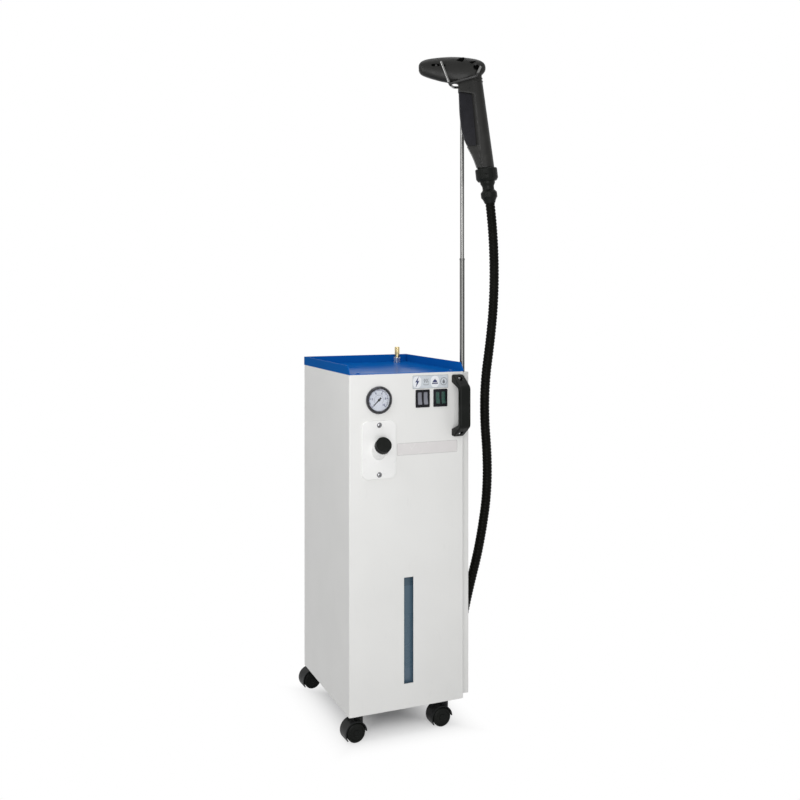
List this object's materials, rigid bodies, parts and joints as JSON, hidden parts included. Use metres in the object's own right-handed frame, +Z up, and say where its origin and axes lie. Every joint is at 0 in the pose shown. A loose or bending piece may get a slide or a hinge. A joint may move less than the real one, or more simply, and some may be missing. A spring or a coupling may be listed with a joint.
{
  "type": "jewelry steam cleaner",
  "caption": "Upright white steam cleaner cabinet on casters, with a blue tray, steam outlet, gauge, rocker switches, water filler and a steam gun on a hose, hung on a tall rod.",
  "frame": {"origin": "on the floor, at the plan centre of the whole machine without its hose", "axes": "+Z up; the front panel with the gauge and switches faces -Y; the rod and gun are at +X"},
  "size_m": [0.3611, 0.4383, 1.5385],
  "materials": {
    "white_enamel": "smooth white powder coat",
    "grey_sheet": "plain galvanised sheet",
    "blue_enamel": "glossy blue powder coat",
    "bright_screw": "polished",
    "brass": "turned brass",
    "stainless": "brushed",
    "chrome_rod": "polished chrome tube",
    "dark_chrome": "dark polished ring",
    "black_screw": "blackened steel",
    "dial_white": "matt white with black numbers",
    "needle_black": "satin black",
    "glass": "clear",
    "black_plastic": "fine grained black",
    "switch_black": "satin black",
    "rocker_grey": "pale grey",
    "rocker_green": "translucent green, ribbed",
    "white_plastic": "moulded white",
    "tank_plastic": "translucent blue grey",
    "rubber": "soft black",
    "hose_black": "ribbed black",
    "caster_grey": "dark grey"
  },
  "bodies": {
    "cabinet": {"cabinet_shell": "white_enamel", "base_pan": "grey_sheet", "rear_panel": "white_enamel", "top_tray": "blue_enamel", "cabinet_screws": "bright_screw", "mains_inlet": "switch_black", "steam_spigot": "brass", "spigot_nut": "stainless", "gauge_case": "needle_black", "gauge_bezel": "dark_chrome", "gauge_dial": "dial_white", "gauge_glass": "glass", "switch_frame_left": "switch_black", "switch_frame_right": "switch_black", "filler_neck": "white_plastic", "filler_screws": "bright_screw", "bridge_handle": "black_plastic", "handle_screws": "bright_screw", "water_tank": "tank_plastic", "boiler_shelf": "grey_sheet", "boiler": "stainless", "heating_element": "stainless", "feed_pump": "switch_black", "steam_valve": "brass", "pipework": "stainless", "rod_channel": "white_enamel", "rod_lower_tube": "chrome_rod", "rod_upper_tube": "chrome_rod", "gun_fork": "chrome_rod", "hose_elbow": "brass", "steam_hose": "hose_black", "caster_stems": "stainless"},
    "gun": {"gun_shell_near": "black_plastic", "gun_shell_far": "black_plastic", "gun_screws": "black_screw", "gun_nozzle": "stainless", "trigger_pin": "stainless", "gun_collar": "black_plastic", "hose_gland": "black_plastic"},
    "trigger": {"gun_trigger": "switch_black"},
    "trigger_lock": {"gun_lock": "switch_black"},
    "cap_gasket": {"cap_seal": "rubber"},
    "cap": {"filler_cap": "black_plastic"},
    "pressure_needle": {"gauge_needle": "needle_black"},
    "rocker_steam_low": {"rocker_steam_low": "rocker_grey"},
    "rocker_steam_high": {"rocker_steam_high": "rocker_grey"},
    "rocker_heater_first": {"rocker_heater_first": "rocker_green"},
    "rocker_heater_second": {"rocker_heater_second": "rocker_green"},
    "caster_front_left": {"caster_hood_front_left": "caster_grey"},
    "wheel_front_left_a": {"caster_wheel_front_left_a": "black_plastic"},
    "wheel_front_left_b": {"caster_wheel_front_left_b": "black_plastic"},
    "caster_front_right": {"caster_hood_front_right": "caster_grey"},
    "wheel_front_right_a": {"caster_wheel_front_right_a": "black_plastic"},
    "wheel_front_right_b": {"caster_wheel_front_right_b": "black_plastic"},
    "caster_rear_left": {"caster_hood_rear_left": "caster_grey"},
    "wheel_rear_left_a": {"caster_wheel_rear_left_a": "black_plastic"},
    "wheel_rear_left_b": {"caster_wheel_rear_left_b": "black_plastic"},
    "caster_rear_right": {"caster_hood_rear_right": "caster_grey"},
    "wheel_rear_right_a": {"caster_wheel_rear_right_a": "black_plastic"},
    "wheel_rear_right_b": {"caster_wheel_rear_right_b": "black_plastic"}
  },
  "joints": [
    {"name": "gun_lift", "type": "slide", "parent": "cabinet", "child": "gun", "axis": [0, 0, 1], "range_m": [0, 0.06]},
    {"name": "trigger_pull", "type": "hinge", "parent": "gun", "child": "trigger", "pos_m": [0.11704, -0.17331, 1.4634], "axis": [-0.3846, -0.9231, 0], "range_deg": [0, 5], "stiffness_Nm_per_rad": 2, "springref_deg": -2.86},
    {"name": "lock_slide", "type": "slide", "parent": "gun", "child": "trigger_lock", "axis": [0.9231, -0.3846, 0], "range_m": [0, 0.007]},
    {"name": "cap_lift", "type": "slide", "parent": "cabinet", "child": "cap_gasket", "axis": [0, -0.8572, 0.515], "range_m": [0, 0.035]},
    {"name": "cap_turn", "type": "hinge", "parent": "cap_gasket", "child": "cap", "pos_m": [-0.10643, -0.2028, 0.66251], "axis": [0, -0.8572, 0.515], "continuous": true},
    {"name": "needle_sweep", "type": "hinge", "parent": "cabinet", "child": "pressure_needle", "pos_m": [-0.10643, -0.17365, 0.758], "axis": [0, 1, 0], "range_deg": [0, 270], "stiffness_Nm_per_rad": 0.0002, "springref_deg": -34.38},
    {"name": "steam_low_press", "type": "hinge", "parent": "cabinet", "child": "rocker_steam_low", "pos_m": [-0.00773, -0.17105, 0.757], "axis": [1, 0, 0], "range_deg": [0, 14]},
    {"name": "steam_high_press", "type": "hinge", "parent": "cabinet", "child": "rocker_steam_high", "pos_m": [0.00667, -0.17105, 0.757], "axis": [1, 0, 0], "range_deg": [0, 14]},
    {"name": "heater_first_press", "type": "hinge", "parent": "cabinet", "child": "rocker_heater_first", "pos_m": [0.03637, -0.17105, 0.757], "axis": [1, 0, 0], "range_deg": [0, 14]},
    {"name": "heater_second_press", "type": "hinge", "parent": "cabinet", "child": "rocker_heater_second", "pos_m": [0.05077, -0.17105, 0.757], "axis": [1, 0, 0], "range_deg": [0, 14]},
    {"name": "caster_front_left_swivel", "type": "hinge", "parent": "cabinet", "child": "caster_front_left", "pos_m": [-0.14173, -0.13965, 0.062], "axis": [0, 0, 1], "continuous": true},
    {"name": "wheel_front_left_a_spin", "type": "hinge", "parent": "caster_front_left", "child": "wheel_front_left_a", "pos_m": [-0.15371, -0.14028, 0.0215], "axis": [0.0523, -0.9986, 0], "continuous": true},
    {"name": "wheel_front_left_b_spin", "type": "hinge", "parent": "caster_front_left", "child": "wheel_front_left_b", "pos_m": [-0.15371, -0.14028, 0.0215], "axis": [0.0523, -0.9986, 0], "continuous": true},
    {"name": "caster_front_right_swivel", "type": "hinge", "parent": "cabinet", "child": "caster_front_right", "pos_m": [0.06827, -0.13965, 0.062], "axis": [0, 0, 1], "continuous": true},
    {"name": "wheel_front_right_a_spin", "type": "hinge", "parent": "caster_front_right", "child": "wheel_front_right_a", "pos_m": [0.05627, -0.13965, 0.0215], "axis": [0, -1, 0], "continuous": true},
    {"name": "wheel_front_right_b_spin", "type": "hinge", "parent": "caster_front_right", "child": "wheel_front_right_b", "pos_m": [0.05627, -0.13965, 0.0215], "axis": [0, -1, 0], "continuous": true},
    {"name": "caster_rear_left_swivel", "type": "hinge", "parent": "cabinet", "child": "caster_rear_left", "pos_m": [-0.14173, 0.17935, 0.062], "axis": [0, 0, 1], "continuous": true},
    {"name": "wheel_rear_left_a_spin", "type": "hinge", "parent": "caster_rear_left", "child": "wheel_rear_left_a", "pos_m": [-0.15371, 0.17872, 0.0215], "axis": [0.0523, -0.9986, 0], "continuous": true},
    {"name": "wheel_rear_left_b_spin", "type": "hinge", "parent": "caster_rear_left", "child": "wheel_rear_left_b", "pos_m": [-0.15371, 0.17872, 0.0215], "axis": [0.0523, -0.9986, 0], "continuous": true},
    {"name": "caster_rear_right_swivel", "type": "hinge", "parent": "cabinet", "child": "caster_rear_right", "pos_m": [0.06827, 0.17935, 0.062], "axis": [0, 0, 1], "continuous": true},
    {"name": "wheel_rear_right_a_spin", "type": "hinge", "parent": "caster_rear_right", "child": "wheel_rear_right_a", "pos_m": [0.07035, 0.19117, 0.0215], "axis": [-0.9848, 0.1736, 0], "continuous": true},
    {"name": "wheel_rear_right_b_spin", "type": "hinge", "parent": "caster_rear_right", "child": "wheel_rear_right_b", "pos_m": [0.07035, 0.19117, 0.0215], "axis": [-0.9848, 0.1736, 0], "continuous": true}
  ]
}
